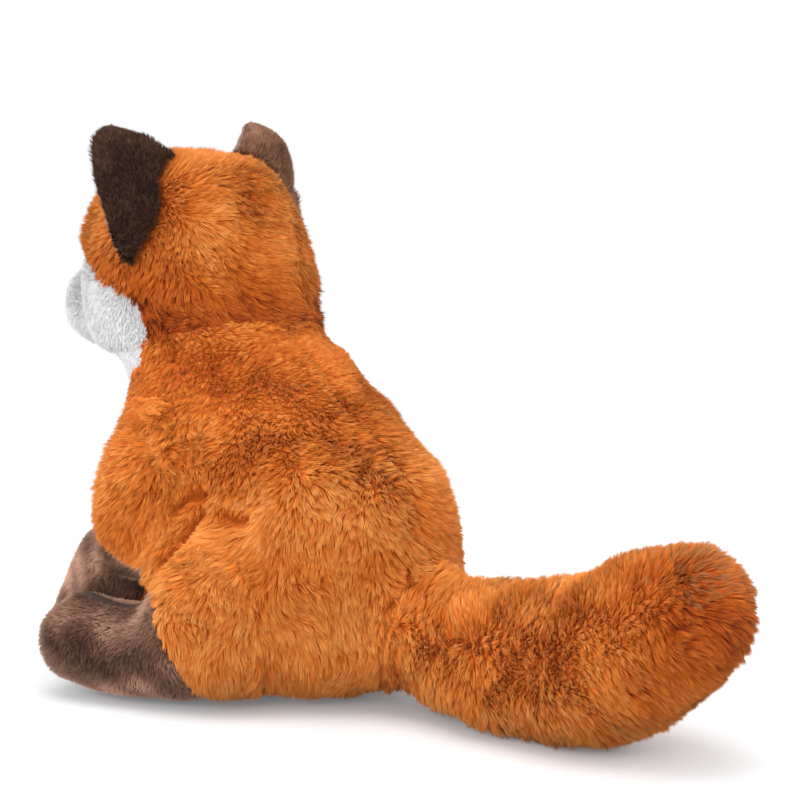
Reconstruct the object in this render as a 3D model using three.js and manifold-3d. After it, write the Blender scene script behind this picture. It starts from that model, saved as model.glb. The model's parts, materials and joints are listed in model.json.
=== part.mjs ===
// A sitting plush fox: pile-fabric covers over fibre fillings, sewn together at soft joints.
// Millimetres, +Z up. The fox faces -Y and its left side is +X.
import * as THREE from "three";
import { mergeVertices } from "three/addons/utils/BufferGeometryUtils.js";
import Module from "manifold-3d";

const wasm = await Module();
wasm.setup();

// Fabric and seams
const longPile = 8;
const shortPile = 3;
const backing = 1;
const seamGap = 0.3;
const restCut = 0.5;

// Torso
const torsoWidth = 120;
const torsoDepth = 144;
const torsoHeight = 151;
const domeRadius = 84;
const domeDepth = 18;
const domeCentreY = -22;
const neckHoleRadius = 26;
const bibWidth = 94;
const bagHeight = 24;

// Head
const headWidth = 102;
const headDepth = 94;
const headHeight = 75;
const headRise = 65;
const headTop = torsoHeight + headRise;
const headCentreY = -34;
const muzzleWidth = 46;
const muzzleHeight = 42;
const muzzleLength = 28.5;
const muzzleDrop = 66;
const faceHeight = 32;
const faceDepth = 82;

// Eyes and nose
const eyeWidth = 10;
const eyeDepth = 6;
const eyeSink = 2;
const eyeSpread = 44;
const eyeDrop = 36;
const noseWidth = 15;
const noseHeight = 11;
const noseDepth = 8;
const noseSink = 3;
const noseLift = 6;
const shankWidth = 3.4;
const shankLength = 14;
const washerWidth = 9;
const washerThickness = 1.6;
const washerSeat = 3;

// Ears
const earHeight = 58;
const earWidth = 44;
const earCup = 5;
const earBelly = 7;
const earThickness = 3.6;
const earSpread = 76;
const earDrop = 29;
const earBaseY = -27;
const earYaw = 18;
const earLean = 23;
const earBaseSlope = 50;
const earTurn = 12;

// Arms
const armLength = 104;
const armWidth = 41;
const shoulderX = 40;
const shoulderY = -12;
const shoulderDrop = 41;
const shoulderZ = torsoHeight - shoulderDrop;
const armTurn = 30;
const wristDrop = 53;
const wristY = -40;
const wristSlope = 30;

// Legs
const legLength = 78;
const legWidth = 52;
const legHeight = 68;
const hipX = 50;
const hipY = 26;
const hipZ = 33;
const legSplay = 22;
const legTurn = 15;
const ankleReach = 14;
const ankleZ = 28;
const ankleSlope = 25;

// Tail
const tailLength = 127;
const tailWidth = 66;
const tailRootY = 104;
const tailRootZ = 27;
const tailTurn = 25;
const tailHoleRadius = 13;

// Facets of the lofts
const bodySides = 24;
const bodyRings = 11;
const limbSides = 16;
const limbRings = 7;
const innerSides = 12;
const innerRings = 5;
const capRings = 3;
const fineCapRings = 4;
const smallSides = 12;
const domeSides = 24;
const domeSteps = 4;
const earSides = 20;
const outlineSteps = 2;
const sweepStep = 7.5;

// Shares of torso height, half width, half depth and half depth forward, from the seat up
const torsoShares = [
  [0.03, 0.74, 0.74, -0.3],
  [0.12, 0.92, 0.9, -0.3],
  [0.28, 1.0, 0.99, -0.3],
  [0.44, 1.01, 0.99, -0.25],
  [0.58, 1.0, 0.99, -0.17],
  [0.71, 0.92, 0.82, -0.01],
  [0.82, 0.86, 0.67, 0.12],
  [0.92, 0.77, 0.6, 0.25],
];

// Shares of head height below the top, half width and half depth
const headShares = [
  [1.12, 0.88, 0.9, -0.02],
  [0.98, 0.97, 0.98, 0.0],
  [0.82, 1.02, 1.02, 0.0],
  [0.62, 1.0, 1.01, 0.02],
  [0.42, 0.95, 0.96, 0.04],
  [0.24, 0.8, 0.82, 0.04],
];

// Shares of muzzle length forward, half width, half height and muzzle height down
const muzzleShares = [
  [-0.6, 1.1, 1.08, 0.0],
  [0.0, 1.0, 1.0, 0.0],
  [0.52, 0.84, 0.86, 0.02],
];

// Shares of arm length out, forward and down, and of the half width across and along
const armShares = [
  [0.03, -0.03, 0.05, 1.02, 1.1],
  [0.1, -0.03, 0.26, 1.0, 1.38],
  [0.1, 0.06, 0.44, 0.94, 1.32],
  [0.04, 0.33, 0.64, 0.74, 0.8],
  [0.0, 0.51, 0.86, 0.68, 0.74],
];

// Shares of leg length forward and up, and of the half width and half height
const legShares = [
  [-0.05, 0.05, 0.95, 1.08],
  [0.18, 0.03, 1.0, 1.04],
  [0.36, -0.15, 0.87, 0.62],
  [0.6, -0.2, 0.76, 0.53],
  [0.8, -0.155, 0.69, 0.54],
];

// Shares of tail length back and up, and of the half width
const tailShares = [
  [0.0, 0.0, 0.8],
  [0.15, 0.0, 0.87],
  [0.38, 0.02, 0.96],
  [0.58, 0.062, 1.0],
  [0.785, 0.19, 0.9],
];

// Shares of the bib's half width and torso height, from the top of one side down
const bibShares = [
  [1.1, 1.1],
  [1.05, 0.9],
  [0.86, 0.82],
  [0.66, 0.74],
  [0.54, 0.6],
  [0.46, 0.42],
  [0.3, 0.27],
  [0.0, 0.2],
];

// Shares of face depth back from the head's front and of face height up, round the white mask's side
const faceShares = [
  [-0.5, 1.0],
  [0.04, 1.0],
  [0.18, 0.93],
  [0.38, 0.7],
  [0.55, 0.56],
  [0.65, 0.44],
  [0.7, 0.05],
  [0.7, -0.8],
  [-0.5, -0.8],
];

// Shares of ear width outward and of ear height up from the middle of the ear's base, round its edge
const earShares = [
  [0.16, 0.76],
  [0.3, 0.71],
  [0.38, 0.63],
  [0.42, 0.5],
  [0.43, 0.3],
  [0.42, 0.07],
  [0.36, -0.13],
  [0.2, -0.32],
  [-0.14, -0.33],
  [-0.5, -0.13],
  [-0.64, 0.13],
  [-0.54, 0.34],
  [-0.36, 0.52],
  [-0.06, 0.69],
];

// Shares of the way from an ear's middle to its edge, and of its thickness there
const earRingShares = [
  [0.5, 0.95],
  [0.85, 0.7],
  [1.0, 0.3],
];

const degrees = THREE.MathUtils.degToRad;
const half = (whole) => whole / 2;
const quarterTurn = degrees(90);
const X = new THREE.Vector3(1, 0, 0);
const Y = new THREE.Vector3(0, 1, 0);
const forward = new THREE.Vector3(0, -1, 0);
const Z = new THREE.Vector3(0, 0, 1);
const orangeWall = longPile + backing;
const brownWall = shortPile + backing;
const space = torsoDepth + tailLength + headHeight;

// Solids and geometry
function solidFrom(geometry) {
  const bare = geometry.clone();
  bare.deleteAttribute("normal");
  bare.deleteAttribute("uv");
  const merged = mergeVertices(bare);
  return new wasm.Manifold(
    new wasm.Mesh({
      numProp: 3,
      vertProperties: merged.attributes.position.array,
      triVerts: new Uint32Array(merged.index.array),
    }),
  );
}

function geometryFrom(solid) {
  const mesh = solid.getMesh();
  const geometry = new THREE.BufferGeometry();
  geometry.setAttribute("position", new THREE.BufferAttribute(mesh.vertProperties, 3));
  geometry.setIndex(new THREE.BufferAttribute(mesh.triVerts, 1));
  return geometry;
}

function moved(solid, matrix) {
  return solidFrom(geometryFrom(solid).applyMatrix4(matrix));
}

function placed(geometry, position) {
  return solidFrom(geometry.translate(position.x, position.y, position.z));
}

function ball(position, radius, sides = bodySides) {
  return placed(new THREE.SphereGeometry(radius, sides, half(sides)), position);
}

// A cylinder whose middle is at a point and whose axis runs along a direction
function rod(middle, direction, radius, length) {
  const geometry = new THREE.CylinderGeometry(radius, radius, length, smallSides);
  const turn = new THREE.Quaternion().setFromUnitVectors(Y, direction);
  return placed(geometry.applyQuaternion(turn), middle);
}

function block(low, high) {
  const size = new THREE.Vector3().subVectors(high, low);
  const middle = new THREE.Vector3().addVectors(low, high).multiplyScalar(half(1));
  return placed(new THREE.BoxGeometry(size.x, size.y, size.z), middle);
}

// Everything under the surface that the fox sits on
function underground() {
  return block(new THREE.Vector3(-space, -space, -space), new THREE.Vector3(space, space, 0));
}

// One ring of a loft, as points round its centre
function ring(centre, across, along, sides) {
  return Array.from({ length: sides }, (_, k) => {
    const angle = (2 * Math.PI * k) / sides;
    return centre
      .clone()
      .addScaledVector(across, Math.cos(angle))
      .addScaledVector(along, Math.sin(angle));
  });
}

// Closes a stack of rings with a point at each end
function skin(rings, first, last, sides) {
  const points = [first, ...rings.flat(), last];
  const faces = [];
  const at = (row, k) => 1 + row * sides + (k % sides);
  for (let k = 0; k < sides; k++) {
    faces.push(0, at(0, k + 1), at(0, k));
    faces.push(points.length - 1, at(rings.length - 1, k), at(rings.length - 1, k + 1));
    for (let row = 0; row + 1 < rings.length; row++) {
      faces.push(at(row, k), at(row, k + 1), at(row + 1, k + 1));
      faces.push(at(row, k), at(row + 1, k + 1), at(row + 1, k));
    }
  }
  const geometry = new THREE.BufferGeometry().setFromPoints(points);
  geometry.setIndex(faces);
  return geometry;
}

// A stuffed form: oval sections that swell and taper along a curved line, with a dome at each end.
// Each station has its centre, its half width across, and its half width the other way.
function softForm(form, grow = 0, sides = form.sides, rings = form.rings) {
  const { stations, across, firstDome, lastDome, domeRings = capRings } = form;
  const line = new THREE.CatmullRomCurve3(stations.map((s) => s.at));
  const sizes = new THREE.CatmullRomCurve3(
    stations.map((s) => new THREE.Vector3(s.across, s.along, 0)),
  );
  const stack = [];
  const dome = (whole) => Math.max(whole + grow, seamGap);
  const section = (t, shrink, push) => {
    const tangent = form.facing ?? line.getTangent(t);
    const size = sizes.getPoint(t);
    const side = across.clone().addScaledVector(tangent, -across.dot(tangent)).normalize();
    const other = new THREE.Vector3().crossVectors(tangent, side);
    const centre = line.getPoint(t).addScaledVector(tangent, push);
    side.multiplyScalar((size.x + grow) * shrink);
    other.multiplyScalar((size.y + grow) * shrink);
    stack.push(ring(centre, side, other, sides));
  };
  const slant = (k) => half(Math.PI) * (k / domeRings);
  for (let k = domeRings - 1; k > 0; k--) {
    section(0, Math.cos(slant(k)), -dome(firstDome) * Math.sin(slant(k)));
  }
  for (let k = 0; k < rings; k++) section(k / (rings - 1), 1, 0);
  for (let k = 1; k < domeRings; k++) {
    section(1, Math.cos(slant(k)), dome(lastDome) * Math.sin(slant(k)));
  }
  const firstWay = form.facing ?? line.getTangent(0);
  const lastWay = form.facing ?? line.getTangent(1);
  const first = line.getPoint(0).addScaledVector(firstWay, -dome(firstDome));
  const last = line.getPoint(1).addScaledVector(lastWay, dome(lastDome));
  return solidFrom(skin(stack, first, last, sides));
}

// The form's inside, smaller by the cover's wall, with fewer facets
const inside = (form, wall) => softForm(form, -wall, innerSides, innerRings);

// Turning a solid about a hinge, and every place that it sweeps on the way
function turned(solid, hinge, angle) {
  const matrix = new THREE.Matrix4().makeTranslation(hinge.at.x, hinge.at.y, hinge.at.z);
  matrix.multiply(new THREE.Matrix4().makeRotationAxis(hinge.axis, degrees(angle)));
  matrix.multiply(
    new THREE.Matrix4().makeTranslation(-hinge.at.x, -hinge.at.y, -hinge.at.z),
  );
  return moved(solid, matrix);
}

function swept(solid, hinge) {
  const reach = hinge.high - hinge.low;
  const count = Math.ceil(reach / sweepStep);
  const angles = Array.from({ length: count + 1 }, (_, k) => hinge.low + (reach * k) / count);
  return wasm.Manifold.union(angles.map((angle) => turned(solid, hinge, angle)));
}

// What a part's neighbours sweep, as the part sees it, while the part turns about its own hinge
const sweptPast = (solid, hinge) =>
  swept(solid, { ...hinge, low: -hinge.high, high: -hinge.low });

// The mirror image on the fox's other side
function mirrored(solid) {
  const geometry = geometryFrom(solid).applyMatrix4(new THREE.Matrix4().makeScale(-1, 1, 1));
  const index = geometry.index.array;
  for (let k = 0; k < index.length; k += 3) {
    [index[k], index[k + 1]] = [index[k + 1], index[k]];
  }
  return solidFrom(geometry);
}

// Forms
const torsoForm = {
  stations: torsoShares.map(([up, wide, deep, ahead]) => ({
    at: new THREE.Vector3(0, -ahead * half(torsoDepth), up * torsoHeight),
    across: wide * half(torsoWidth),
    along: deep * half(torsoDepth),
  })),
  across: X,
  facing: Z,
  firstDome: torsoShares[0][0] * torsoHeight + restCut,
  lastDome: torsoHeight * (1 - torsoShares.at(-1)[0]),
  sides: bodySides,
  rings: bodyRings,
};

const headForm = {
  stations: headShares.map(([down, wide, deep, ahead]) => ({
    at: new THREE.Vector3(0, headCentreY - ahead * headDepth, headTop - down * headHeight),
    across: wide * half(headWidth),
    along: deep * half(headDepth),
  })),
  across: X,
  facing: Z,
  firstDome: half(half(headHeight)),
  lastDome: headShares.at(-1)[0] * headHeight,
  sides: bodySides,
  rings: bodyRings - capRings,
  domeRings: fineCapRings,
};

const muzzleRoot = new THREE.Vector3(
  0,
  headCentreY - half(headDepth),
  headTop - muzzleDrop,
);
const muzzleForm = {
  stations: muzzleShares.map(([ahead, wide, high, down]) => ({
    at: muzzleRoot
      .clone()
      .add(new THREE.Vector3(0, -ahead * muzzleLength, -down * muzzleHeight)),
    across: wide * half(muzzleWidth),
    along: high * half(muzzleHeight),
  })),
  across: X,
  facing: forward,
  firstDome: half(muzzleHeight),
  lastDome: muzzleLength * (1 - muzzleShares.at(-1)[0]),
  sides: limbSides,
  rings: limbRings - capRings,
};

const shoulder = {
  at: new THREE.Vector3(shoulderX, shoulderY, shoulderZ),
  axis: X,
  low: -armTurn,
  high: 0,
};
const armForm = {
  stations: armShares.map(([out, ahead, down, wide, deep]) => ({
    at: shoulder.at
      .clone()
      .add(new THREE.Vector3(out, -ahead, -down).multiplyScalar(armLength)),
    across: wide * half(armWidth),
    along: deep * half(armWidth),
  })),
  across: X,
  firstDome: half(armWidth),
  lastDome: armLength * (1 - armShares.at(-1)[2]),
  sides: limbSides,
  rings: limbRings,
};

const legWay = new THREE.Vector3(Math.sin(degrees(legSplay)), -Math.cos(degrees(legSplay)), 0);
const legAcross = new THREE.Vector3().crossVectors(legWay, Z);
const hip = {
  at: new THREE.Vector3(hipX, hipY, hipZ),
  axis: X,
  low: -legTurn,
  high: 0,
};
const legForm = {
  stations: legShares.map(([ahead, up, wide, high]) => ({
    at: hip.at
      .clone()
      .addScaledVector(legWay, ahead * legLength)
      .addScaledVector(Z, up * legLength),
    across: wide * half(legWidth),
    along: high * half(legHeight),
  })),
  across: legAcross,
  facing: legWay,
  firstDome: half(legWidth),
  lastDome: legLength * (1 - legShares.at(-1)[0]),
  sides: limbSides,
  rings: limbRings,
};

const tailJoint = {
  at: new THREE.Vector3(0, tailRootY, tailRootZ),
  axis: Z,
  low: -tailTurn,
  high: tailTurn,
};
const tailForm = {
  stations: tailShares.map(([back, up, wide]) => ({
    at: tailJoint.at.clone().add(new THREE.Vector3(0, back, up).multiplyScalar(tailLength)),
    across: wide * half(tailWidth),
    along: wide * half(tailWidth),
  })),
  across: X,
  firstDome: tailShares[0][2] * half(tailWidth),
  lastDome: tailShares.at(-1)[2] * half(tailWidth),
  sides: limbSides,
  rings: limbRings,
};

// Ears: leaf-shaped panels, cupped forward, whose lower edge follows the side of the head
const earBack = new THREE.Vector3(Math.sin(degrees(earYaw)), Math.cos(degrees(earYaw)), 0);
const earOut = new THREE.Vector3(Math.cos(degrees(earYaw)), -Math.sin(degrees(earYaw)), 0);
const earUp = Z.clone().applyAxisAngle(earOut, degrees(earLean));
const earFacing = earBack.clone().applyAxisAngle(earOut, degrees(earLean));
const earRoot = {
  at: new THREE.Vector3(half(earSpread), earBaseY, headTop - earDrop),
  axis: earOut
    .clone()
    .multiplyScalar(Math.cos(degrees(earBaseSlope)))
    .addScaledVector(earUp, -Math.sin(degrees(earBaseSlope)))
    .normalize(),
  low: -earTurn,
  high: earTurn,
};

// One layer of an ear, from its middle sheet out to one side
function earPanel(side) {
  const edge = new THREE.CatmullRomCurve3(
    earShares.map(([out, up]) => new THREE.Vector3(out * earWidth, up * earHeight, 0)),
    true,
  );
  const points = edge.getPoints(earSides).slice(0, -1);
  const middle = points.reduce((sum, p) => sum.add(p), new THREE.Vector3());
  middle.divideScalar(points.length);
  const sheet = (share, depth) =>
    points.map((p) => {
      const at = middle.clone().lerp(p, share);
      const cup = earCup * ((at.x - middle.x) / half(earWidth)) ** 2;
      const belly = earBelly * (1 - ((at.y - middle.y) / half(earHeight)) ** 2);
      return earRoot.at
        .clone()
        .addScaledVector(earOut, at.x)
        .addScaledVector(earUp, at.y)
        .addScaledVector(earFacing, belly - cup + depth);
    });
  const near = side * seamGap;
  const inner = earRingShares.map(([share]) => sheet(share, near));
  const outer = earRingShares.map(([share, thick]) => sheet(share, near + side * thick * earThickness));
  const first = sheet(0, near)[0];
  const last = sheet(0, near + side * earThickness)[0];
  const rings = [...inner, ...outer.reverse()];
  return side < 0
    ? solidFrom(skin(rings.reverse(), last, first, points.length))
    : solidFrom(skin(rings, first, last, points.length));
}

// The sleeve ends at a slanted wrist and the trouser at a slanted ankle
function beyond(at, way, out) {
  const middle = at.clone().addScaledVector(way, half(space) + out);
  const turn = new THREE.Quaternion().setFromUnitVectors(Z, way);
  return placed(new THREE.BoxGeometry(space, space, space).applyQuaternion(turn), middle);
}

const wristWay = Z.clone().negate().applyAxisAngle(X, degrees(-wristSlope));
const wrist = new THREE.Vector3(shoulderX, wristY, shoulderZ - wristDrop);
const pawRegion = (out) => beyond(wrist, wristWay, out);
const ankleWay = legWay.clone().applyAxisAngle(legAcross, degrees(-ankleSlope));
const ankle = new THREE.Vector3(hipX, hipY, ankleZ).addScaledVector(legWay, ankleReach);
const footRegion = (out) => beyond(ankle, ankleWay, out);

// The white bib: an outline seen from the front, cut through the torso's front wall
function bibRegion(out) {
  const side = bibShares.map(
    ([wide, up]) => new THREE.Vector2(wide * half(bibWidth) - out, up * torsoHeight),
  );
  side[side.length - 1].set(0, bibShares.at(-1)[1] * torsoHeight + out);
  const shape = new THREE.Shape();
  shape.moveTo(side[0].x, side[0].y);
  shape.splineThru(side.slice(1));
  shape.splineThru(side.slice(0, -1).reverse().map((p) => new THREE.Vector2(-p.x, p.y)));
  const geometry = new THREE.ExtrudeGeometry(shape, {
    depth: torsoDepth,
    bevelEnabled: false,
    curveSegments: outlineSteps,
  });
  geometry.rotateX(quarterTurn);
  return placed(geometry, new THREE.Vector3(0, domeCentreY - out, 0));
}

// The white mask: an outline seen from the side, cut through the head's front wall
function faceRegion(out) {
  const bottom = headTop - headHeight;
  const front = headCentreY - half(headDepth);
  const outline = faceShares.map(
    ([back, up]) => new THREE.Vector2(front + back * faceDepth, bottom + up * faceHeight),
  );
  const geometry = new THREE.ExtrudeGeometry(new THREE.Shape(outline), {
    depth: 2 * headWidth,
    bevelEnabled: false,
  });
  geometry.rotateX(quarterTurn).rotateZ(quarterTurn);
  return placed(geometry, new THREE.Vector3(-headWidth, -out, -out));
}

const fibreLook = { color: 0xf4f4f2, roughness: 1, metalness: 0 };
const orangeFur = { color: 0xc8692a, roughness: 0.95, metalness: 0 };
const brownFur = { color: 0x5c4034, roughness: 0.95, metalness: 0 };
const liningFur = { color: 0x7a5c4e, roughness: 0.95, metalness: 0 };
const whiteFur = { color: 0xf0eeea, roughness: 0.95, metalness: 0 };
const blackPlastic = { color: 0x0c0b0b, roughness: 0.12, metalness: 0 };
const clearPlastic = { color: 0xd8d8d4, roughness: 0.4, metalness: 0 };
const pouchCloth = { color: 0xd9d2c4, roughness: 0.9, metalness: 0 };

const group = new THREE.Group();

function add(name, solid, look) {
  const geometry = geometryFrom(solid).toNonIndexed();
  geometry.computeVertexNormals();
  const mesh = new THREE.Mesh(geometry, new THREE.MeshStandardMaterial(look));
  mesh.name = name;
  group.add(mesh);
}

function addPair(name, solid, look) {
  add("left_" + name, solid, look);
  add("right_" + name, mirrored(solid), look);
}

const aboveSeat = (height) => beyond(new THREE.Vector3(0, 0, height), Z, 0);
const without = (solid, cuts) => cuts.reduce((rest, cut) => rest.subtract(cut), solid);

// Seats: the head turns on the torso's dome, and the tail's round root in the rump's hollow
const ground = underground();
const rim = new THREE.Vector3(0, domeCentreY, torsoHeight - domeDepth);
const widen = 1 / Math.cos(Math.PI / domeSides);

// The dome's cap over a straight wall, raised and widened where it is the hollow over the dome
function domeCap(gap, wall = 0) {
  const radius = domeRadius - wall;
  const low = domeRadius - domeDepth;
  const reach = Math.acos(low / radius);
  const spread = gap > 0 ? widen : 1;
  const cap = Array.from({ length: domeSteps + 1 }, (_, k) => {
    const angle = (reach * (domeSteps - k)) / domeSteps;
    return new THREE.Vector2(
      k === domeSteps ? 0 : radius * Math.sin(angle) * spread,
      radius * Math.cos(angle) - low + gap,
    );
  });
  const foot = [new THREE.Vector2(0, -torsoHeight), new THREE.Vector2(cap[0].x, -torsoHeight)];
  const geometry = new THREE.LatheGeometry([...foot, ...cap], domeSides).rotateX(quarterTurn);
  return placed(geometry, rim);
}

const aboveRim = block(
  new THREE.Vector3(-space, -space, rim.z),
  new THREE.Vector3(space, space, space),
);
const overDome = aboveRim.subtract(domeCap(0));
const rootRadius = tailShares[0][2] * half(tailWidth);
const seatWiden = 1 / Math.cos(Math.PI / bodySides) ** 2;
const tailSeat = ball(tailJoint.at, (rootRadius + seamGap) * seatWiden, bodySides);

// Torso: an orange cover with a white bib in front, fibre above and a pouch of pellets below
const torsoInside = inside(torsoForm, orangeWall).intersect(aboveSeat(orangeWall));
const torsoBlocker = without(softForm(torsoForm, seamGap), [overDome]);
const torsoOuter = without(softForm(torsoForm), [overDome, ground, tailSeat]);
const neckHole = rod(
  new THREE.Vector3(0, domeCentreY, torsoHeight),
  Z,
  neckHoleRadius,
  2 * domeDepth,
);
const torsoShell = without(torsoOuter, [torsoInside, neckHole]);
const torsoFibre = inside(torsoForm, orangeWall + seamGap).intersect(
  aboveSeat(orangeWall + seamGap),
);
const overFibre = aboveRim.subtract(domeCap(0, orangeWall + seamGap));
const aboveBag = (out) => aboveSeat(orangeWall + bagHeight + out);

add("torso_cover", torsoShell.subtract(bibRegion(0)), orangeFur);
add("chest_bib", torsoShell.intersect(bibRegion(seamGap)), whiteFur);
add(
  "torso_filling",
  without(torsoFibre.intersect(aboveBag(half(seamGap))), [overFibre, tailSeat]),
  fibreLook,
);
add("bean_bag", without(torsoFibre, [aboveBag(-half(seamGap)), tailSeat]), pouchCloth);

// Head: an orange cover, a white mask let into its front, and a muzzle sewn on the mask
const headSeat = domeCap(seamGap).add(beyond(rim, Z.clone().negate(), -seamGap));
const headOuter = softForm(headForm).subtract(headSeat);
const headShell = headOuter.subtract(inside(headForm, orangeWall));
const headBlocker = softForm(headForm, seamGap);

const eyeAngle = Math.asin(eyeSpread / headWidth);
const eyeWay = new THREE.Vector3(Math.sin(eyeAngle), -Math.cos(eyeAngle), 0).normalize();
const eyeAt = new THREE.Vector3(
  half(eyeSpread),
  headCentreY - half(headDepth) * Math.cos(eyeAngle) + eyeSink,
  headTop - eyeDrop,
);
const noseAt = new THREE.Vector3(
  0,
  muzzleRoot.y - muzzleLength + noseSink,
  muzzleRoot.z + noseLift,
);

// A button with its shank, its washer behind the fabric, and the room that they take.
// The fabric closes over the button's rim and leaves its middle bare.
function button(at, way, size, wall) {
  const turn = new THREE.Quaternion().setFromUnitVectors(forward, way);
  const bead = (grow) =>
    placed(
      new THREE.SphereGeometry(1, smallSides, half(smallSides))
        .scale(half(size.x) + grow, half(size.y) + grow, half(size.z) + grow)
        .applyQuaternion(turn),
      at,
    );
  const shank = (radius) =>
    rod(at.clone().addScaledVector(way, -half(shankLength)), way, radius, shankLength);
  const mouth = half(half(size.x)) + seamGap;
  const washerAt = at.clone().addScaledVector(way, -wall);
  const washer = (radius, length) => rod(washerAt, way, radius, length);
  const pocketReach = shankLength - wall + seamGap;
  return {
    solid: bead(0).add(shank(half(shankWidth))),
    hole: bead(seamGap)
      .add(shank(half(shankWidth) + seamGap))
      .add(rod(at.clone().addScaledVector(way, half(size.y)), way, mouth, size.y)),
    washer: washer(half(washerWidth), washerThickness).subtract(
      shank(half(shankWidth) + half(seamGap)),
    ),
    pocket: rod(
      washerAt.clone().addScaledVector(way, -half(pocketReach)),
      way,
      half(washerWidth) + seamGap,
      pocketReach + washerThickness + 2 * seamGap,
    ),
  };
}

const eye = button(
  eyeAt,
  eyeWay,
  new THREE.Vector3(eyeWidth, eyeDepth, eyeWidth),
  orangeWall + washerSeat,
);
const nose = button(
  noseAt,
  forward,
  new THREE.Vector3(noseWidth, noseDepth, noseHeight),
  brownWall + 2 * washerSeat,
);
const eyeHoles = [eye.hole, mirrored(eye.hole)];
const eyePockets = [eye.pocket, mirrored(eye.pocket)];

const muzzleOuter = softForm(muzzleForm).subtract(headBlocker);
add("head_cover", without(headShell, [faceRegion(0), ...eyeHoles]), orangeFur);
add("face_cover", without(headShell.intersect(faceRegion(seamGap)), eyeHoles), whiteFur);
add(
  "head_filling",
  without(inside(headForm, orangeWall + seamGap), [headSeat, ...eyePockets, ...eyeHoles]),
  fibreLook,
);
add(
  "muzzle_cover",
  without(muzzleOuter, [inside(muzzleForm, brownWall), nose.hole]),
  whiteFur,
);
add(
  "muzzle_filling",
  without(inside(muzzleForm, brownWall + seamGap), [headBlocker, nose.hole, nose.pocket]),
  fibreLook,
);
addPair("eye", eye.solid, blackPlastic);
addPair("eye_washer", eye.washer, clearPlastic);
add("nose", nose.solid, blackPlastic);
add("nose_washer", nose.washer, clearPlastic);

// Ears
const headPastEar = sweptPast(headBlocker, earRoot);
addPair("ear_back", earPanel(1).subtract(headPastEar), brownFur);
addPair("ear_front", earPanel(-1).subtract(headPastEar), liningFur);

// Legs: an orange thigh and a brown foot over one filling, drawn in against the torso
const legCuts = [sweptPast(torsoBlocker, hip), ground];
const legOuter = without(softForm(legForm), legCuts);
addPair(
  "thigh_cover",
  without(legOuter, [inside(legForm, orangeWall), footRegion(0)]),
  orangeFur,
);
addPair(
  "foot_cover",
  without(legOuter.intersect(footRegion(seamGap)), [inside(legForm, brownWall)]),
  brownFur,
);
addPair(
  "leg_filling",
  without(
    inside(legForm, orangeWall + seamGap).add(
      inside(legForm, brownWall + seamGap).intersect(footRegion(2 * seamGap)),
    ),
    legCuts,
  ),
  fibreLook,
);

// Arms: an orange sleeve and a brown paw over one filling, clear of the legs as they lift
const legBlocker = swept(softForm(legForm, seamGap), hip);
const armCuts = [sweptPast(torsoBlocker, shoulder), sweptPast(legBlocker, shoulder), ground];
const armOuter = without(softForm(armForm), armCuts);
addPair(
  "arm_cover",
  without(armOuter, [inside(armForm, orangeWall), pawRegion(0)]),
  orangeFur,
);
addPair(
  "paw_cover",
  without(armOuter.intersect(pawRegion(seamGap)), [inside(armForm, brownWall)]),
  brownFur,
);
addPair(
  "arm_filling",
  without(
    inside(armForm, orangeWall + seamGap).add(
      inside(armForm, brownWall + seamGap).intersect(pawRegion(2 * seamGap)),
    ),
    armCuts,
  ),
  fibreLook,
);

// Tail: its round root turns in the rump's hollow
const tailHole = rod(
  tailJoint.at.clone().add(new THREE.Vector3(0, -rootRadius, 0)),
  forward,
  tailHoleRadius,
  2 * rootRadius,
);
const torsoPastTail = sweptPast(torsoBlocker.subtract(tailSeat), tailJoint);
const tailOuter = without(softForm(tailForm), [torsoPastTail, ground]);
add(
  "tail_cover",
  without(tailOuter, [inside(tailForm, orangeWall), tailHole]),
  orangeFur,
);
add(
  "tail_filling",
  without(inside(tailForm, orangeWall + seamGap), [torsoPastTail, ground]),
  fibreLook,
);

// The frame's origin is under the middle of the whole fox, on the surface that it sits on
const box = new THREE.Box3().setFromObject(group);
const middle = box.getCenter(new THREE.Vector3());
group.position.set(-middle.x, -middle.y, -box.min.z);

export default group;
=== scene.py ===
import json
import math

import bpy
import numpy as np
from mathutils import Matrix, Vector
from mathutils.bvhtree import BVHTree
from mathutils.kdtree import KDTree


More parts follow.
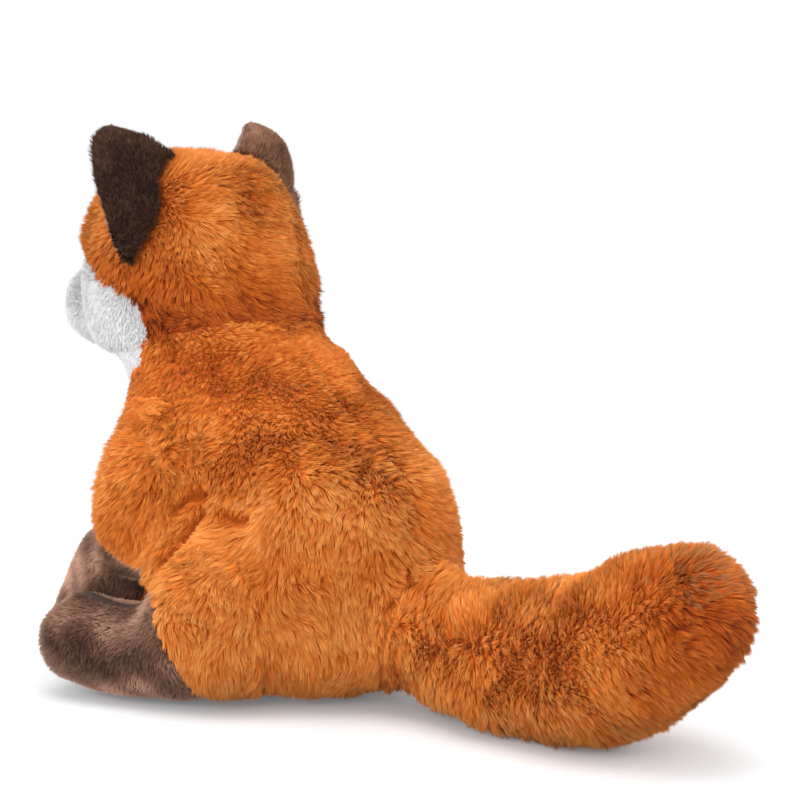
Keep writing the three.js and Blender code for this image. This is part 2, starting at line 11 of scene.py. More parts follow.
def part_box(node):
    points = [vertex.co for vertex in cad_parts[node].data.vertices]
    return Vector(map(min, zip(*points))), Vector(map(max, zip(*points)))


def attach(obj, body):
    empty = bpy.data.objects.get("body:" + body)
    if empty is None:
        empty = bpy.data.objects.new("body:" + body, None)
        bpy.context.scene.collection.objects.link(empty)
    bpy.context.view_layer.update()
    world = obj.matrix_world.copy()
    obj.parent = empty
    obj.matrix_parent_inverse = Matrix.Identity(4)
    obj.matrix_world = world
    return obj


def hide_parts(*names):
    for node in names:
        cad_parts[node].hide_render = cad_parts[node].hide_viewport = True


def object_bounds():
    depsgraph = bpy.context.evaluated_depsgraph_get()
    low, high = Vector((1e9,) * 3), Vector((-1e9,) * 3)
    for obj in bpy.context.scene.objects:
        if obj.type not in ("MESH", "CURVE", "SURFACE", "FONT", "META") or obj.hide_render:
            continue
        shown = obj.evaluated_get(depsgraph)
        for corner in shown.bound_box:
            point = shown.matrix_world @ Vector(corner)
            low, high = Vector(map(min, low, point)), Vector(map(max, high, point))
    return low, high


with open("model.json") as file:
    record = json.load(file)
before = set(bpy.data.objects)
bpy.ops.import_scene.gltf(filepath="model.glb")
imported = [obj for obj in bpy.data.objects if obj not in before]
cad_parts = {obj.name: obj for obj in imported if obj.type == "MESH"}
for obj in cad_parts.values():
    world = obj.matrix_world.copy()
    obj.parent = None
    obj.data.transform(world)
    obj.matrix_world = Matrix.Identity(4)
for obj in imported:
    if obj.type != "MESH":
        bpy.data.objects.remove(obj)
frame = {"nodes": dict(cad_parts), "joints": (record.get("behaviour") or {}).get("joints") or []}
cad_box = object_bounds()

# The fox's looks: padded skins, each under a pile of separate tapered hairs that lie in locks.
# Metres, in the frame of the CAD model: the fox faces -Y and its left side is +X.

MM = 0.001

# Camera: the photograph's angle, from behind and to the fox's left
AZIMUTH = math.radians(131)
ELEVATION = math.radians(7.5)
DISTANCE = 0.95
SENSOR = 36.0
LENS = 102.5
CLIP = (0.05, 50)
AIM_FROM_NECK = Vector((-48.34, 55.12, -20.96)) * MM

# Light and floor
SKY_LEVEL = 1.4
FLOOR_SIZE = 12.0
FLOOR_GREY = (0.55, 0.55, 0.555, 1.0)
FLOOR_GLOW = (0.12, 0.12, 0.12, 1.0)
FADE_START = 0.28
FADE_END = 0.62

# Softboxes: each one's place from the fox's middle, its size in metres and its power in watts
LAMPS = {
    "key": ((0.2, 0.0, 1.3), 1.0, 12),
    "side": ((1.3, 0.4, 0.35), 1.0, 11),
    "fill": ((1.0, -1.1, 0.3), 1.0, 12),
    "rim": ((-0.9, 1.2, 0.6), 0.9, 9),
}

# A random field: how many waves it has, and how much finer or coarser than its size each one is
WAVES = 10
WAVE_SHARES = (0.6, 1.4)

# Skins: the size of their faces, their gap over the floor, the most that they get back of what
# smoothing takes, the width of a change from cover to cover, and the height and size of their
# lumps in millimetres
VOXEL = 2.0 * MM
EAR_VOXEL = 1.1 * MM
FLOOR_GAP = 0.2 * MM
GIVEN_BACK = 3 * MM
COVER_BLEND = 2 * MM
LUMPS = [(0.7, 28), (0.3, 11)]

# How often values are smoothed: the covers' nearness, the form before and after it is drawn to
# the joined one, how deep it is buried, what it gets back, and an ear's top
NEAR_ROUNDS = 3
UNDRAWN_ROUNDS = 4
DRAWN_ROUNDS = 2
BURIED_ROUNDS = 3
GIVEN_BACK_ROUNDS = 12
EAR_TOP_ROUNDS = 8

# The joined form of head, trunk, limbs and tail: how wide a groove it fills and how often it is
# smoothed, how far and over which band a skin is drawn to it, which way it faces where it isn't
# filled, how deep in it a skin is buried, and where the pile turns with it
CLOSING = 8 * MM
CLOSED_ROUNDS = (10, 16)
MERGE_REACH = 15 * MM
MERGE_BAND = 7 * MM
FRONT_FACING = (-0.6, -0.2)
BURIED_BAND = (1.5 * MM, 4.5 * MM)
JOIN_OVERLAP = 1.5 * MM
MEET_REACH = 5 * MM
MEET_ALIKE = (0.95, 0.65)

# How far some covers' colour reaches over their neighbour's
SEAM_SHIFTS = {
    "face_cover": 4 * MM,
    "left_paw_cover": 13 * MM,
    "right_paw_cover": 13 * MM,
}

# Creases in the pile, drawn in and darkened with painted shade: each one's line in millimetres from
# the left hip, the share of each axis that counts for the distance from it, its width, and its depth,
# which sets how far it is drawn in and how dark its painted shade is
CREASES = [
    ([(9, -3, 46), (9, -4, 44), (10, -7.5, 37), (16, -10, 31), (18, -16, 25)], (0.2, 1, 1), 2.5, 1.0),
    ([(10, -14, 46), (10, -9, 51), (9, -4, 52)], (0.2, 1, 1), 2.9, 1.0),
    ([(9, 5.5, 45.6), (7, 11, 43.6), (5, 16, 43.8)], (0.2, 1, 1), 2.6, 1.0),
    ([(-37.6, 54, -21), (-35.5, 60, 13), (-40, 62, 24)], (1, 0.2, 1), 2.0, 0.7),
    ([(-50, 34, 76), (-50, 58, 46), (-50, 65, 16)], (1, 0.15, 1), 1.3, 0.28),
]
CREASE_DEPTH = 3.6 * MM
UNCREASED = ("head", "left_ear", "right_ear")

# The gap between paw, foot and sleeve, drawn in and darkened with painted shade: its place from the
# left hip in millimetres, the share of each axis, its size and its depth
GAP_FROM_HIP = (6, -41, 12)
GAP_SHARES = (0.3, 0.55, 1)
GAP_SIZE = 8.5 * MM
GAP_DEPTH = 3.5 * MM

# Hairs: for each kind of pile its length, width at the root, hairs in a square millimetre, lift
# from the skin, size of a lock, share that a lock draws its tips together, turn of the nap,
# how deep the skin lies under the cover's outline, how round each hair is shaded, and the share
# of its length that a hair has at the cover's edge
PILES = {
    "orange_fur": dict(
        length=7.6, width=0.66, density=3.7, lift=0.68, lock=2.7, draw=0.52, turn=34, skin=4.0,
        round=0.6, edge=0.7,
    ),
    "white_fur": dict(
        length=3.6, width=0.6, density=4.6, lift=0.66, lock=2.0, draw=0.1, turn=16, skin=2.0,
        round=0.2, edge=0.8,
    ),
    "brown_fur": dict(
        length=3.2, width=0.42, density=4.8, lift=0.6, lock=1.6, draw=0.4, turn=36, skin=1.5,
        round=0.6, edge=0.8,
    ),
    "ear_fur": dict(
        length=3.0, width=0.42, density=4.8, lift=0.66, lock=1.5, draw=0.35, turn=36, skin=0.6,
        round=0.6, edge=1.0,
    ),
    "ear_lining": dict(
        length=3.0, width=0.42, density=4.6, lift=0.6, lock=1.4, draw=0.3, turn=26, skin=0.6,
        round=0.6, edge=0.2,
    ),
}
LARGE_LOCK = 13 * MM
LEAST_LOCKS = 8
SEAM_REACH = 5 * MM
ROOT_DEPTH = 0.5 * MM
PIECE_HAIRS = 64000

# How a hair's length and its lift change in waves, by lock and by hair, within which limits, the
# least share of its length that it keeps under another skin, and what a crease takes of it
LENGTH_WAVE = 0.08
LENGTH_WAVE_SIZE = 9 * MM
LENGTH_LOCK = 0.08
LENGTH_SHARES = (0.78, 1.06)
LIFT_WAVE = 0.1
LIFT_WAVE_SIZE = 15 * MM
LIFT_HAIR = 0.07
LIFT_LIMITS = (0.2, 0.9)
LEAST_FREE = 0.85
CREASE_CUT = 0.62

# How a hair's direction turns in wide and in small waves, by large lock, and by hair in degrees,
# and how much of its lock's draw and of its width it takes
WIDE_TURN_SIZE = 34 * MM
SMALL_TURN = 0.6
SMALL_TURN_SIZE = 12 * MM
LOCK_TURN = 0.7
HAIR_TURN = 10
DRAW_SHARES = (0.6, 1.2)
WIDTH_SHARES = (0.75, 1.2)

# How a hair's shading follows its lock's swell, differs by hair, and leans: white pile towards
# the light, and every tip along its hair
SHADE_SWELL = 0.7
SHADE_HAIR = 0.17
WHITE_LEAN = (0.2, 0.1, 0.3)
TIP_LEAN = 0.25

# Materials: the hairs' roughness, mirror light and sheen, the backing's knit with its darker
# share, its band of noise and its depth, and the plastic's flow of lighter tone and its coat
HAIR_ROUGHNESS = 0.75
HAIR_SPECULAR = 0.12
SHEEN_ROUGHNESS = 0.5
KNIT_SCALE = 900
KNIT_DARK = 0.8
KNIT_BAND = (0.3, 0.7)
KNIT_DEPTH = 0.4 * MM
FLOW_SCALE = 120
FLOW_BAND = (0.35, 0.7)
FLOW_LIGHTER = 1.35
FLOW_ADDED = 4
COAT = 0.6
COAT_ROUGHNESS = 0.05

# How a hair's tone differs by lock, by large lock and by hair, its limits, the mark that brown
# hairs carry and the tone that it stands for, and how far one hair spreads over its map
TONE_LOCK = 0.14
TONE_LARGE_LOCK = 0.07
TONE_HAIR = 0.06
TONE_LIMITS = (0.01, 0.9)
BROWN_MARK = 3.0
BROWN_TONE = 0.99
MAP_ACROSS = 0.004
MAP_ALONG = 0.02

# Colours as seen in the photograph: hair tips from dark to light tone, and the painted shade that
# darkens the roots
TIP_COLOURS = {
    "orange_fur": [
        (0.0, (88, 34, 8)),
        (0.07, (156, 68, 16)),
        (0.3, (188, 94, 28)),
        (0.55, (210, 120, 48)),
        (0.8, (228, 150, 78)),
        (0.92, (234, 160, 88)),
        (0.96, (164, 106, 62)),
        (1.0, (160, 102, 58)),
    ],
    "white_fur": [(0.0, (208, 208, 210)), (1.0, (236, 236, 236))],
    "brown_fur": [(0.0, (50, 31, 22)), (0.5, (120, 85, 68)), (1.0, (188, 148, 126))],
    # the dark end serves the near ear's back, which is painted darker as shade
    "ear_fur": [(0.0, (27, 10, 2)), (0.5, (108, 74, 55)), (1.0, (168, 128, 104))],
    "ear_lining": [(0.0, (84, 62, 52)), (1.0, (150, 120, 104))],
}
# Painted shade: each pile is darkened from the root up, standing in for the shade deep in the pile
ROOT_PAINTED_SHADE = {
    "orange_fur": [(0.0, (226, 190, 146)), (0.5, (246, 226, 200)), (0.85, (255, 255, 255))],
    "white_fur": [(0.0, (240, 241, 244)), (0.6, (255, 255, 255))],
    "brown_fur": [(0.0, (150, 132, 124)), (0.7, (255, 255, 255))],
    "ear_fur": [(0.0, (170, 150, 140)), (0.7, (255, 255, 255))],
    "ear_lining": [(0.0, (150, 136, 130)), (0.7, (255, 255, 255))],
}
SKIN_COLOURS = {
    "orange_fur": (206, 104, 36),
    "white_fur": (238, 238, 238),
    "brown_fur": (66, 44, 35),
    "ear_fur": (60, 40, 30),
    "ear_lining": (96, 72, 62),
}
SHEENS = {
    "orange_fur": (0.25, (255, 180, 110)),
    "white_fur": (0.2, (255, 255, 255)),
    "brown_fur": (0.8, (216, 176, 152)),
    "ear_fur": (0.15, (200, 140, 104)),
    "ear_lining": (0.5, (220, 190, 170)),
}


# Small helpers
def linear(colour, alpha=1.0):
    """A colour of 0 to 255 as the linear light that shaders take."""
    channels = [c / 255 for c in colour]
    light = [c / 12.92 if c <= 0.04045 else ((c + 0.055) / 1.055) ** 2.4 for c in channels]
    return (*light, alpha)


def unit(vectors):
    """Each row at length 1."""
    length = np.linalg.norm(vectors, axis=-1, keepdims=True)
    return vectors / np.maximum(length, 1e-12)


def fade(values, start, end):
    """From 0 at the start to 1 at the end, and level beyond them."""
    return np.clip((values - start) / (end - start), 0, 1)


def waves(points, size, seed):
    """A smooth random field from about -1 to 1, whose bumps have the given size."""
    rng = np.random.default_rng(seed)
    ways = unit(rng.normal(size=(WAVES, 3)))
    ways *= math.pi / size * rng.uniform(*WAVE_SHARES, (WAVES, 1))
    phases = rng.uniform(0, 2 * math.pi, WAVES)
    return np.sin(points @ ways.T + phases).sum(1) / math.sqrt(WAVES)


def place_in(node, points, axis):
    """Where points are along one axis of a CAD node's box, from 0 to 1."""
    low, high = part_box(node)
    return (points[:, axis] - low[axis]) / (high[axis] - low[axis])


def joint_place(name):
    """Where a joint turns, in the frame."""
    return Vector(next(j["pos_m"] for j in frame["joints"] if j["name"] == name))


def placed(name, data):
    """A new object in the scene."""
    made = bpy.data.objects.new(name, data)
    bpy.context.scene.collection.objects.link(made)
    return made


NECK = joint_place("head_turn")
HIP = np.array(joint_place("left_leg_lift"))
SHOULDER = np.array(joint_place("left_arm_swing"))


# Materials
def started(name):
    """A new material, with its nodes, links and shader."""
    made = bpy.data.materials.new(name)
    made.use_nodes = True
    nodes = made.node_tree.nodes
    return made, nodes, made.node_tree.links, nodes["Principled BSDF"]


def ramp(nodes, stops):
    """A colour ramp through the given stops."""
    node = nodes.new("ShaderNodeValToRGB")
    elements = node.color_ramp.elements
    for place, _ in stops[1:-1]:
        elements.new(place)
    for element, (place, colour) in zip(elements, stops):
        element.position = place
        element.color = linear(colour)
    return node


def fur_material(kind):
    """Hair colour from the hair's own map: its tone across, and from root to tip upwards, where
    painted shade darkens the roots.
    """
    made, nodes, links, shader = started(kind + "_hair")
    place = nodes.new("ShaderNodeUVMap")
    place.uv_map = "OFBake"
    split = nodes.new("ShaderNodeSeparateXYZ")
    links.new(place.outputs["UV"], split.inputs["Vector"])
    tone = ramp(nodes, TIP_COLOURS[kind])
    # painted shade towards the roots, multiplied into the tips' tone
    depth = ramp(nodes, ROOT_PAINTED_SHADE[kind])
    links.new(split.outputs["X"], tone.inputs["Fac"])
    links.new(split.outputs["Y"], depth.inputs["Fac"])
    mix = nodes.new("ShaderNodeMix")
    mix.data_type = "RGBA"
    mix.blend_type = "MULTIPLY"
    mix.inputs["Factor"].default_value = 1.0
    links.new(tone.outputs["Color"], mix.inputs["A"])
    links.new(depth.outputs["Color"], mix.inputs["B"])
    links.new(mix.outputs["Result"], shader.inputs["Base Color"])
    shader.inputs["Roughness"].default_value = HAIR_ROUGHNESS
    shader.inputs["Specular IOR Level"].default_value = HAIR_SPECULAR
    weight, tint = SHEENS[kind]
    shader.inputs["Sheen Weight"].default_value = weight
    shader.inputs["Sheen Roughness"].default_value = SHEEN_ROUGHNESS
    shader.inputs["Sheen Tint"].default_value = linear(tint)
    return made


def skin_material(kind):
    """The knitted backing that the pile grows from, mostly hidden under it."""
    made, nodes, links, shader = started(kind + "_backing")
    place = nodes.new("ShaderNodeTexCoord")
    knit = nodes.new("ShaderNodeTexNoise")
    knit.inputs["Scale"].default_value = KNIT_SCALE
    links.new(place.outputs["Object"], knit.inputs["Vector"])
    dark = tuple(KNIT_DARK * c for c in SKIN_COLOURS[kind])
    shade = ramp(nodes, list(zip(KNIT_BAND, (dark, SKIN_COLOURS[kind]))))
    links.new(knit.outputs["Fac"], shade.inputs["Fac"])
    links.new(shade.outputs["Color"], shader.inputs["Base Color"])
    bump = nodes.new("ShaderNodeBump")
    bump.inputs["Distance"].default_value = KNIT_DEPTH
    links.new(knit.outputs["Fac"], bump.inputs["Height"])
    links.new(bump.outputs["Normal"], shader.inputs["Normal"])
    shader.inputs["Roughness"].default_value = 1.0
    return made


def plastic_material(name, colour, roughness):
    """Moulded plastic with a faint flow of tone."""
    made, nodes, links, shader = started(name)
    place = nodes.new("ShaderNodeTexCoord")
    flow = nodes.new("ShaderNodeTexNoise")
    flow.inputs["Scale"].default_value = FLOW_SCALE
    links.new(place.outputs["Object"], flow.inputs["Vector"])
    lighter = tuple(min(255, FLOW_LIGHTER * c + FLOW_ADDED) for c in colour)
    shade = ramp(nodes, list(zip(FLOW_BAND, (colour, lighter))))
    links.new(flow.outputs["Fac"], shade.inputs["Fac"])
    links.new(shade.outputs["Color"], shader.inputs["Base Color"])
    shader.inputs["Roughness"].default_value = roughness
    shader.inputs["Coat Weight"].default_value = COAT
    shader.inputs["Coat Roughness"].default_value = COAT_ROUGHNESS
    return made


HAIR_MATERIALS = {kind: fur_material(kind) for kind in PILES}
SKIN_MATERIALS = {kind: skin_material(kind) for kind in PILES}


# Meshes
def mesh_from(name, points, faces, sides):
    """A mesh of faces that all have the same number of sides."""
    made = bpy.data.meshes.new(name)
    made.vertices.add(len(points))
    made.vertices.foreach_set("co", np.asarray(points, np.float32).ravel())
    made.loops.add(faces.size)
    made.loops.foreach_set("vertex_index", faces.astype(np.int32).ravel())
    made.polygons.add(len(faces))
    made.polygons.foreach_set("loop_start", np.arange(0, faces.size, sides, dtype=np.int32))
    made.polygons.foreach_set("use_smooth", np.ones(len(faces), bool))
    made.update(calc_edges=True)
    return made


def corners_and_faces(data):
    """A mesh's points and its triangles as arrays."""
    points = np.zeros(len(data.vertices) * 3)
    data.vertices.foreach_get("co", points)
    data.calc_loop_triangles()
    faces = np.zeros(len(data.loop_triangles) * 3, np.int32)
    data.loop_triangles.foreach_get("vertices", faces)
    return points.reshape(-1, 3), faces.reshape(-1, 3)


def joined(surfaces):
    """Several surfaces as one set of points and triangles."""
    points, faces, count = [], [], 0
    for more_points, more_faces in surfaces:
        points.append(more_points)
        faces.append(more_faces + count)
        count += len(more_points)
    return np.concatenate(points), np.concatenate(faces)


def cad_surfaces(names):
    """The surfaces of CAD nodes."""
    return [corners_and_faces(frame["nodes"][name].data) for name in names]


def wrapped(names, voxel):
    """One closed surface round several CAD nodes, with small even faces."""
    return remeshed(*joined(cad_surfaces(names)), voxel)


def remeshed(points, faces, voxel):
    """The outer surface of a form, with small even faces."""
    shape = placed("wrap", mesh_from("wrap", points, faces, 3))
    remesh = shape.modifiers.new("remesh", "REMESH")
    remesh.mode = "VOXEL"
    remesh.voxel_size = voxel
    graph = bpy.context.evaluated_depsgraph_get()
    done = bpy.data.meshes.new_from_object(shape.evaluated_get(graph))
    points, faces = corners_and_faces(done)
    bpy.data.objects.remove(shape)
    bpy.data.meshes.remove(done)
    return points, outer_faces(points, faces)


def outer_faces(points, faces):
    """The faces of the largest connected surface."""
    label = np.arange(len(points))
    while True:
        low = label[faces].min(1)
        new = label.copy()
        np.minimum.at(new, faces.ravel(), np.repeat(low, 3))
        new = new[new]
        if np.array_equal(new, label):
            break
        label = new
    owners = label[faces[:, 0]]
    values, counts = np.unique(owners, return_counts=True)
    return faces[owners == values[counts.argmax()]]


def edges_of(faces):
    """Each edge once."""
    pairs = np.concatenate([faces[:, [0, 1]], faces[:, [1, 2]], faces[:, [2, 0]]])
    return np.unique(np.sort(pairs, 1), axis=0)


def relaxed(values, edges, rounds):
    """Values at the points, each drawn half way to the mean of its neighbours, several times."""
    count = len(values)
    degree = np.maximum(np.bincount(edges.ravel(), minlength=count), 1)[:, None]
    for _ in range(rounds):
        total = np.stack(
            [
                np.bincount(edges[:, 0], values[edges[:, 1], k], count)
                + np.bincount(edges[:, 1], values[edges[:, 0], k], count)
                for k in range(values.shape[1])
            ],
            1,
        )
        values = 0.5 * values + 0.5 * total / degree
    return values


def normals_of(points, faces):
    """Each point's outward direction."""
    a, b, c = (points[faces[:, k]] for k in range(3))
    across = np.cross(b - a, c - a)
    total = np.zeros_like(points)
    for k in range(3):
        for axis in range(3):
            total[:, axis] += np.bincount(faces[:, k], across[:, axis], len(points))
    return unit(total)


def tree_of(surfaces):
    """For asking how near some surfaces are, or whether they are in the way."""
    points, faces = joined(surfaces)
    return BVHTree.FromPolygons(points.tolist(), faces.tolist())


def distances(tree, points):
    """How far each point is from the nearest face of the tree."""
    return np.array([tree.find_nearest(Vector(p))[3] for p in points])


# Nap: the way in which the pile is combed, before its locks turn it, and how far it spreads to
# the sides
TRUNK_NAP = (0, 0.1, -1.0)
TRUNK_SPREAD = 0.18
TRUNK_SPREAD_SIZE = 30 * MM
HEAD_NAP = (0, 0.8, -0.5)
ARM_NAP = (0, -0.1, -1.0)
LEG_NAP = (0, -0.2, -0.9)
LIMB_SPREAD = 0.12
LIMB_TOP_SPREAD = 0.8
TAIL_NAP = (0, 0.75, -0.5)
EAR_NAP = (0, 0.1, 1.0)
EAR_SPREAD = 0.15


def sideways(shares):
    """Directions along X, of the given lengths."""
    return shares * np.array([[1, 0, 0]])


def nap_down(points, normals):
    """Down, and away from the middle."""
    return sideways(TRUNK_SPREAD * np.tanh(points[:, :1] / TRUNK_SPREAD_SIZE)) + TRUNK_NAP


def nap_head(points, normals):
    """Back and down."""
    return np.tile(HEAD_NAP, (len(points), 1))


def outwards(points, normals):
    """Away from the trunk, most where the form faces up."""
    share = LIMB_SPREAD + LIMB_TOP_SPREAD * np.clip(normals[:, 2:], 0, 1)
    return sideways(np.sign(points[:, :1]) * share)


def nap_arm(points, normals):
    """Down the arm."""
    return outwards(points, normals) + ARM_NAP


def nap_leg(points, normals):
    """Down, and forward to the foot."""
    return outwards(points, normals) + LEG_NAP


def nap_tail(points, normals):
    """Towards the end of the tail, and down."""
    return np.tile(TAIL_NAP, (len(points), 1))


def nap_ear(points, normals):
    """Up to the tip."""
    return sideways(EAR_SPREAD * np.sign(points[:, :1])) + EAR_NAP


# Creases
def left_side(points):
    """The points, with those of the right side mirrored to the left."""
    return np.concatenate([np.abs(points[:, :1]), points[:, 1:]], 1)


def line_distances(points, line):
    """How far each point is from a line of straight stretches."""
    far = np.full(len(points), np.inf)
    for start, end in zip(line, line[1:]):
        along = np.clip((points - start) @ (end - start) / ((end - start) @ (end - start)), 0, 1)
        far = np.minimum(far, np.linalg.norm(points - start - along[:, None] * (end - start), axis=1))
    return far


def creased(points):
    """From 0 away from the creases to 1 in the middle of one, alike on both sides of the fox."""
    deepest = np.zeros(len(points))
    for line, flat, width, depth in CREASES:
        flat = np.array(flat)
        far = line_distances(left_side(points) * flat, (HIP + np.array(line) * MM) * flat)
        deepest = np.maximum(deepest, depth * np.exp(-((far / (width * MM)) ** 2)))
    return deepest


def in_gap(points):
    """One in the gap between paw, foot and sleeve, where painted shade darkens the pile, and nought
    away from it.
    """
    away = (left_side(points) - HIP - np.array(GAP_FROM_HIP) * MM) * np.array(GAP_SHARES)
    return np.exp(-((np.linalg.norm(away, axis=1) / GAP_SIZE) ** 4))


# The joined form
class Whole:
    """Head, trunk, limbs and tail as one smooth form, with the grooves between them filled."""

    def __init__(self, nodes_of):
        every = [name for names in nodes_of.values() for name in names]
        points, faces = wrapped(every, VOXEL)
        points = points + normals_of(points, faces) * CLOSING
        points, faces = remeshed(points, faces, VOXEL)
        edges = edges_of(faces)
        points = relaxed(points, edges, CLOSED_ROUNDS[0])
        points = relaxed(points - normals_of(points, faces) * CLOSING, edges, CLOSED_ROUNDS[1])
        self.tree = BVHTree.FromPolygons(points.tolist(), faces.tolist())
        self.faces = faces
        trees = [tree_of(cad_surfaces(names)) for names in nodes_of.values()]
        near = np.stack([distances(tree, points) for tree in trees], 1)
        self.excess = dict(zip(nodes_of, (near - near.min(1, keepdims=True)).T))

    def buried(self, points):
        """From 0 at this form's outline to 1 for points that lie well inside it."""
        depth = np.zeros(len(points))
        for k, point in enumerate(points):
            place, normal, _, far = self.tree.find_nearest(Vector(point))
            depth[k] = far if (place - Vector(point)).dot(normal) > 0 else 0
        return fade(depth, *BURIED_BAND)

    def facing(self, points, normals):
        """The outward directions, turned to this form's where another skin meets them."""
        turned = normals.copy()
        for k, point in enumerate(points):
            _, normal, _, far = self.tree.find_nearest(Vector(point))
            unlike = (MEET_ALIKE[0] - normal.dot(Vector(normals[k]))) / (MEET_ALIKE[0] - MEET_ALIKE[1])
            share = min(1, unlike) * (2 - far / MEET_REACH)
            if share > 0:
                turned[k] += (np.array(normal) - normals[k]) * min(1, share)
        return unit(turned)

    def drawn(self, points, normals, body):
        """The points of one body, drawn to this form where it is that body's to fill."""
        moved = points.copy()
        gap = in_gap(points)
        for k, point in enumerate(points):
            place, normal, face, far = self.tree.find_nearest(Vector(point))
            share = 1 - self.excess[body][self.faces[face]].mean() / MERGE_BAND
            share *= fade(far, MERGE_REACH, MERGE_REACH / 2)
            share *= np.clip(2 * normal.dot(Vector(normals[k])), 0, 1)
            share *= fade(normal.y, *FRONT_FACING)
            share *= 1 - gap[k]
            if share > 0:
                moved[k] += (np.array(place) - point) * min(1, 2 * share)
        return moved


# Skins
class Skin:
    """A padded form under its pile: a smooth closed surface, and which cover each point belongs to."""

    def __init__(self, body, covers, fillings, nap, rounds, seed, voxel=VOXEL, whole=None):
        self.body, self.covers, self.nap, self.seed, self.whole = body, covers, nap, seed, whole
        self.nodes = [*covers, *fillings]
        raw, self.faces = wrapped(self.nodes, voxel)
        self.edges = edges_of(self.faces)
        near = np.stack([distances(tree_of(cad_surfaces([cover])), raw) for cover in covers], 1)
        near = relaxed(near, self.edges, NEAR_ROUNDS)
        if whole is not None:
            even = relaxed(raw, self.edges, UNDRAWN_ROUNDS)
            raw = whole.drawn(raw, normals_of(even, self.faces), body)
            raw = relaxed(raw, self.edges, DRAWN_ROUNDS)
        smooth = relaxed(raw, self.edges, rounds)
        normals = normals_of(smooth, self.faces)
        depth = near_shares(near) @ np.array([PILES[kind]["skin"] * MM for kind in covers.values()])
        if whole is not None:
            hidden = relaxed(whole.buried(smooth)[:, None], self.edges, BURIED_ROUNDS)[:, 0]
            depth = depth * (1 - hidden) - JOIN_OVERLAP * hidden
        shrunk = ((raw - smooth) * normals).sum(1)
        shrunk = np.clip(shrunk, 0, GIVEN_BACK)[:, None]
        shrunk = relaxed(shrunk, self.edges, GIVEN_BACK_ROUNDS)[:, 0]
        self.points = smooth - normals * (depth - shrunk)[:, None]
        self.near = near - np.array([SEAM_SHIFTS.get(cover, 0) for cover in covers])

    def settle(self, shape):
        """Ends the shaping: lumps, the body's own form and creases, then the floor."""
        normals = normals_of(self.points, self.faces)
        lumps = np.zeros(len(self.points))
        for number, (height, size) in enumerate(LUMPS):
            lumps += height * MM * waves(self.points, size * MM, self.seed + number)
        lumps += shape(self.points, normals)
        if self.body not in UNCREASED:
            lumps = lumps - CREASE_DEPTH * creased(self.points) - GAP_DEPTH * in_gap(self.points)
        self.points = self.points + normals * lumps[:, None]
        self.points[:, 2] = np.maximum(self.points[:, 2], FLOOR_GAP)
        self.normals = normals_of(self.points, self.faces)

    def evened(self, share, rounds):
        """Draws the surface towards an even one, by the given share at each point."""
        even = relaxed(self.points, self.edges, rounds)
        self.points += (even - self.points) * share(self.points)[:, None]
        self.normals = normals_of(self.points, self.faces)

    def piece(self):
        """The skin as a padded piece, which stands for the CAD covers and fillings."""
        data = mesh_from(self.body + "_skin", self.points, self.faces, 3)
        kinds = list(dict.fromkeys(self.covers.values()))
        for kind in kinds:
            data.materials.append(SKIN_MATERIALS[kind])
        cover = self.near[self.faces].mean(1).argmin(1)
        number = np.array([kinds.index(kind) for kind in self.covers.values()], np.int32)
        data.polygons.foreach_set("material_index", number[cover])
        made = placed(self.body + "_skin", data)
        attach(made, self.body)
        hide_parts(*self.nodes)


def near_shares(near):
    """How much of each cover is felt at a point: all of it, but for a soft change at a seam."""
    pull = np.exp(-(near - near.min(1, keepdims=True)) / COVER_BLEND)
    return pull / pull.sum(1, keepdims=True)


# Hairs
def scattered(skin, cover_index, density, rng):
    """Random roots on one cover's part of a skin, their outward directions, and how far it goes on."""
    a, b, c = (skin.points[skin.faces[:, k]] for k in range(3))
    area = 0.5 * np.linalg.norm(np.cross(b - a, c - a), axis=1)
    count = int(area.sum() / MM**2 * density)
    chosen = rng.choice(len(area), count, p=area / area.sum())
    u, v = rng.random(count), rng.random(count)
    over = u + v > 1
    u[over], v[over] = 1 - u[over], 1 - v[over]
    weights = np.stack([1 - u - v, u, v], 1)
    corners = skin.faces[chosen]
    near = (skin.near[corners] * weights[..., None]).sum(1)
    own = near[:, cover_index].copy()
    near[:, cover_index] = np.inf
    border = near.min(1) - own
    kept = border >= 0
    roots = (skin.points[corners] * weights[..., None]).sum(1)[kept]
    normals = unit((skin.normals[corners] * weights[..., None]).sum(1))[kept]
    return roots, normals, border[kept]


def nearest_lock(points, size, rng):
    """The lock that each hair belongs to, as indices of the locks' middle hairs."""
    spread = np.ptp(points, axis=0)
    surface = 2 * (spread[0] * spread[1] + spread[1] * spread[2] + spread[2] * spread[0])
    count = int(np.clip(surface / size**2, LEAST_LOCKS, len(points)))
    middles = rng.choice(len(points), count, replace=False)
    tree = KDTree(count)
    for k, index in enumerate(middles):
        tree.insert(points[index], k)
    tree.balance()
    return middles[np.array([tree.find(p)[1] for p in points])]


def combed(roots, normals, nap, pile, rng, seed, large):
    """Each hair's direction along the skin."""
    way = nap(roots, normals)
    way = unit(way - normals * (way * normals).sum(1, keepdims=True))
    side = np.cross(normals, way)
    turn = waves(roots, WIDE_TURN_SIZE, seed) + SMALL_TURN * waves(roots, SMALL_TURN_SIZE, seed + 1)
    turn += LOCK_TURN * rng.uniform(-1, 1, len(roots))[large]
    angle = np.radians(pile["turn"]) * turn + np.radians(HAIR_TURN) * rng.normal(size=len(roots))
    return way * np.cos(angle)[:, None] + side * np.sin(angle)[:, None]


def hair_lengths(roots, border, lock, pile, rng, seed):
    """Lengths that change in waves, by lock and by hair, and towards the cover's edge."""
    count = len(roots)
    length = pile["length"] * MM * (1 + LENGTH_WAVE * waves(roots, LENGTH_WAVE_SIZE, seed + 2))
    length *= rng.uniform(*LENGTH_SHARES, count) * (1 + LENGTH_LOCK * rng.uniform(-1, 1, count))[lock]
    return length * (pile["edge"] + (1 - pile["edge"]) * np.clip(border / SEAM_REACH, 0, 1))


